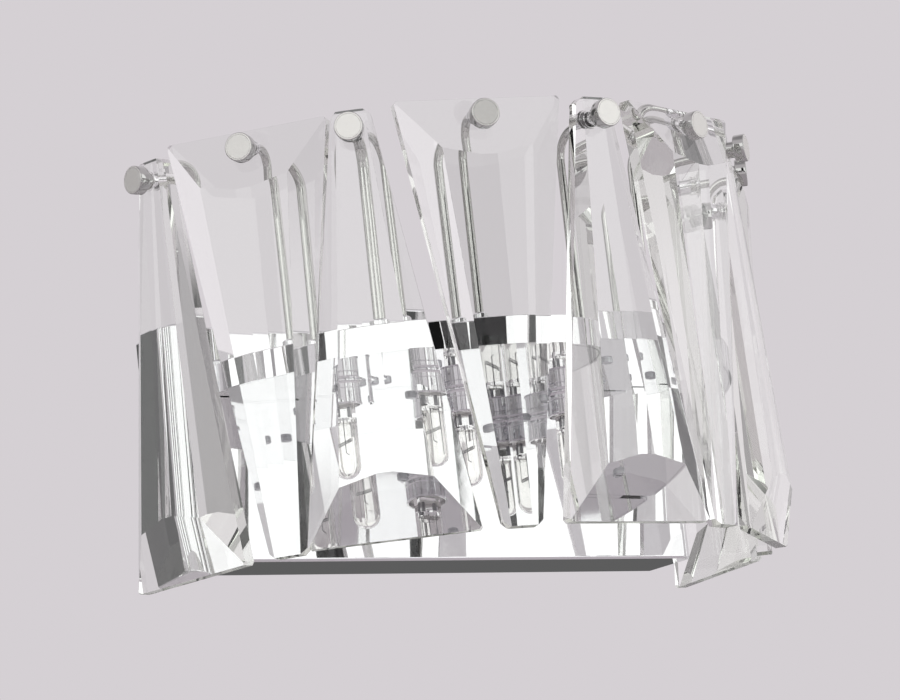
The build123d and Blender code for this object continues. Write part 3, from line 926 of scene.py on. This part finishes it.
def panel_ramp(tree, panels):
    """A colour ramp over the whole turn, one hard-edged band for each panel."""
    node = add_node(tree, "ShaderNodeValToRGB")
    ramp = node.color_ramp
    ramp.interpolation = "CONSTANT"
    for index, (edge, level) in enumerate(panels):
        position = (edge + 180) / 360
        stop = ramp.elements[0] if index == 0 else ramp.elements.new(position)
        stop.position = position
        stop.color = (*panel_colour(level), 1.0)
    ramp.elements.remove(ramp.elements[-1])
    return node


def panel_colour(level):
    """Softboxes and dark gaps are neutral, and the pale room between them is slightly lilac."""
    if level <= GAP or level >= SOFTBOX:
        return (level, level, level)
    return tuple(level * tint for tint in LILAC_TINT)


def blend_by_height(tree, height, start, end, first, second):
    """Mixes two colours smoothly where the viewing direction's height goes from start to end."""
    share = add_node(tree, "ShaderNodeMapRange", interpolation_type="SMOOTHSTEP")
    share.inputs["From Min"].default_value, share.inputs["From Max"].default_value = start, end
    link(tree, height, share.inputs["Value"])
    mixed = add_node(tree, "ShaderNodeMix", data_type="RGBA")
    link(tree, share.outputs["Result"], mixed.inputs[0])
    link(tree, first, mixed.inputs[6])
    if isinstance(second, tuple):
        mixed.inputs[7].default_value = second
    else:
        link(tree, second, mixed.inputs[7])
    return mixed.outputs[2]


def world_light(settings):
    """A pale studio all round, with the darker gaps between its softboxes."""
    world = bpy.data.worlds.new("studio")
    world.use_nodes = True
    bpy.context.scene.world = world
    tree = world.node_tree
    place = add_node(tree, "ShaderNodeTexCoord")
    axes = add_node(tree, "ShaderNodeSeparateXYZ")
    link(tree, place.outputs["Generated"], axes.inputs["Vector"])
    ahead = add_node(tree, "ShaderNodeMath", operation="MULTIPLY")
    ahead.inputs[1].default_value = -1.0
    link(tree, axes.outputs["Y"], ahead.inputs[0])
    azimuth = add_node(tree, "ShaderNodeMath", operation="ARCTAN2")
    link(tree, axes.outputs["X"], azimuth.inputs[0])
    link(tree, ahead.outputs[0], azimuth.inputs[1])
    turn = add_node(tree, "ShaderNodeMath", operation="MULTIPLY_ADD")
    turn.inputs[1].default_value, turn.inputs[2].default_value = 1 / tau, 0.5
    link(tree, azimuth.outputs[0], turn.inputs[0])
    bands = [panel_ramp(tree, panels) for panels in (STUDIO_PANELS, TABLE_PANELS, LOWER_PANELS)]
    for band in bands:
        link(tree, turn.outputs[0], band.inputs["Fac"])
    middle, table, lower = (band.outputs["Color"] for band in bands)
    height = axes.outputs["Z"]
    colour = blend_by_height(tree, height, *TABLE_EDGE, middle, table)
    colour = blend_by_height(tree, height, *LOWER_EDGE, colour, lower)
    colour = blend_by_height(tree, height, *OVERHEAD_EDGE, colour, (*panel_colour(OVERHEAD), 1.0))
    colour = blend_by_height(tree, height, *ZENITH_EDGE, colour, (*panel_colour(SHADE), 1.0))
    path = add_node(tree, "ShaderNodeLightPath")
    seen = add_node(tree, "ShaderNodeMix", data_type="RGBA")
    seen.inputs[7].default_value = (*settings.background, 1.0)
    link(tree, colour, seen.inputs[6])
    link(tree, path.outputs["Is Camera Ray"], seen.inputs[0])
    link(tree, seen.outputs[2], tree.nodes["Background"].inputs["Color"])


def softbox(name, place, target, width, height, power):
    light = bpy.data.lights.new(name, "AREA")
    light.shape, light.size, light.size_y, light.energy = "RECTANGLE", width, height, power
    lamp = bpy.data.objects.new(name, light)
    bpy.context.scene.collection.objects.link(lamp)
    place, target = Vector(place), Vector(target)
    lamp.location = place
    lamp.rotation_euler = (target - place).to_track_quat("-Z", "Y").to_euler()
    lamp.visible_camera = lamp.visible_glossy = lamp.visible_transmission = False
    return lamp


def floor_material(settings):
    """The pale floor, clear when it is looked at from underneath."""
    material, tree, shader = new_material("stage_floor")
    set_plain(shader, Base_Color=settings.background[:], Roughness=0.8)
    side = add_node(tree, "ShaderNodeNewGeometry")
    solid = add_node(tree, "ShaderNodeMath", operation="SUBTRACT")
    solid.inputs[0].default_value = 1.0
    link(tree, side.outputs["Backfacing"], solid.inputs[1])
    link(tree, solid.outputs[0], shader.inputs["Alpha"])
    return material


def floor_disc(radius, height):
    """A flat disc that faces up."""
    mesh = bmesh.new()
    place = Matrix.Translation((0.0, 0.0, height))
    bmesh.ops.create_circle(mesh, cap_ends=True, segments=96, radius=radius, matrix=place)
    mesh.normal_update()
    if mesh.faces[:][0].normal.z < 0:
        bmesh.ops.reverse_faces(mesh, faces=mesh.faces[:])
    data = bpy.data.meshes.new("stage_floor")
    mesh.to_mesh(data)
    mesh.free()
    return data


def camera():
    """The camera at the photograph's viewing angle, for an image of 900 by 700."""
    yaw, pitch, roll = radians(CAMERA_YAW), radians(CAMERA_PITCH), radians(CAMERA_ROLL)
    ahead = Vector((sin(yaw) * cos(pitch), cos(yaw) * cos(pitch), sin(pitch)))
    right = Vector((cos(yaw), -sin(yaw), 0))
    up = right.cross(ahead)
    rolled_right = right * cos(roll) + up * sin(roll)
    rolled_up = up * cos(roll) - right * sin(roll)
    data = bpy.data.cameras.new("photo_view")
    data.sensor_width, data.lens = SENSOR_WIDTH, CAMERA_LENS_PIXELS / IMAGE_WIDTH * SENSOR_WIDTH
    data.clip_start, data.clip_end = 0.1, 50.0
    eye = bpy.data.objects.new("photo_view", data)
    bpy.context.scene.collection.objects.link(eye)
    turned = Matrix((rolled_right, rolled_up, -ahead)).transposed().to_4x4()
    eye.matrix_world = Matrix.Translation(CAMERA_PLACE) @ turned
    bpy.context.scene.camera = eye


class SCONCE_OT_set_stage(bpy.types.Operator):
    """Set the floor, the studio light and the camera"""

    bl_idname = "sconce.set_stage"
    bl_label = "Set Stage"

    def execute(self, context):
        settings = context.scene.sconce_stage
        scene = context.scene
        scene.view_settings.view_transform = "Standard"
        scene.cycles.max_bounces = 24
        scene.cycles.glossy_bounces = 16
        scene.cycles.transmission_bounces = 24
        world_light(settings)
        floor = new_object("stage_floor", floor_disc(FLOOR_RADIUS, FLOOR_HEIGHT))
        floor.data.materials.append(floor_material(settings))
        softbox("key_softbox", (-1.6, -1.2, 1.2), (0, -0.08, 0.03), 1.2, 1.2, settings.key_power)
        softbox("fill_softbox", (1.6, -1.0, 0.5), (0, -0.08, 0.03), 0.9, 1.4, settings.fill_power)
        camera()
        return {"FINISHED"}


class SCONCE_PT_panel(bpy.types.Panel):
    """Lists the steps that dress the sconce"""

    bl_label = "Crystal Sconce"
    bl_idname = "SCONCE_PT_panel"
    bl_space_type = "VIEW_3D"
    bl_region_type = "UI"
    bl_category = "Sconce"

    def draw(self, context):
        layout = self.layout
        for group in ("sconce_sizes", "sconce_colours", "sconce_stage"):
            settings = getattr(context.scene, group)
            box = layout.box()
            for name in settings.bl_rna.properties.keys():
                if name not in ("rna_type", "name"):
                    box.prop(settings, name)
        for step in STEPS:
            layout.operator(step.bl_idname)


STEPS = (
    SCONCE_OT_mix_finishes,
    SCONCE_OT_dress_metalwork,
    SCONCE_OT_cut_crystals,
    SCONCE_OT_bend_rods,
    SCONCE_OT_turn_knobs,
    SCONCE_OT_dress_lamps,
    SCONCE_OT_set_stage,
)
CLASSES = (SconceSizes, SconceColours, StageSettings, *STEPS, SCONCE_PT_panel)


def register():
    for item in CLASSES:
        bpy.utils.register_class(item)
    bpy.types.Scene.sconce_sizes = PointerProperty(type=SconceSizes)
    bpy.types.Scene.sconce_colours = PointerProperty(type=SconceColours)
    bpy.types.Scene.sconce_stage = PointerProperty(type=StageSettings)


def unregister():
    del bpy.types.Scene.sconce_sizes
    del bpy.types.Scene.sconce_colours
    del bpy.types.Scene.sconce_stage
    for item in reversed(CLASSES):
        bpy.utils.unregister_class(item)


def main():
    register()
    for step in STEPS:
        group, name = step.bl_idname.split(".")
        getattr(getattr(bpy.ops, group), name)()


if __name__ == "__main__":
    main()
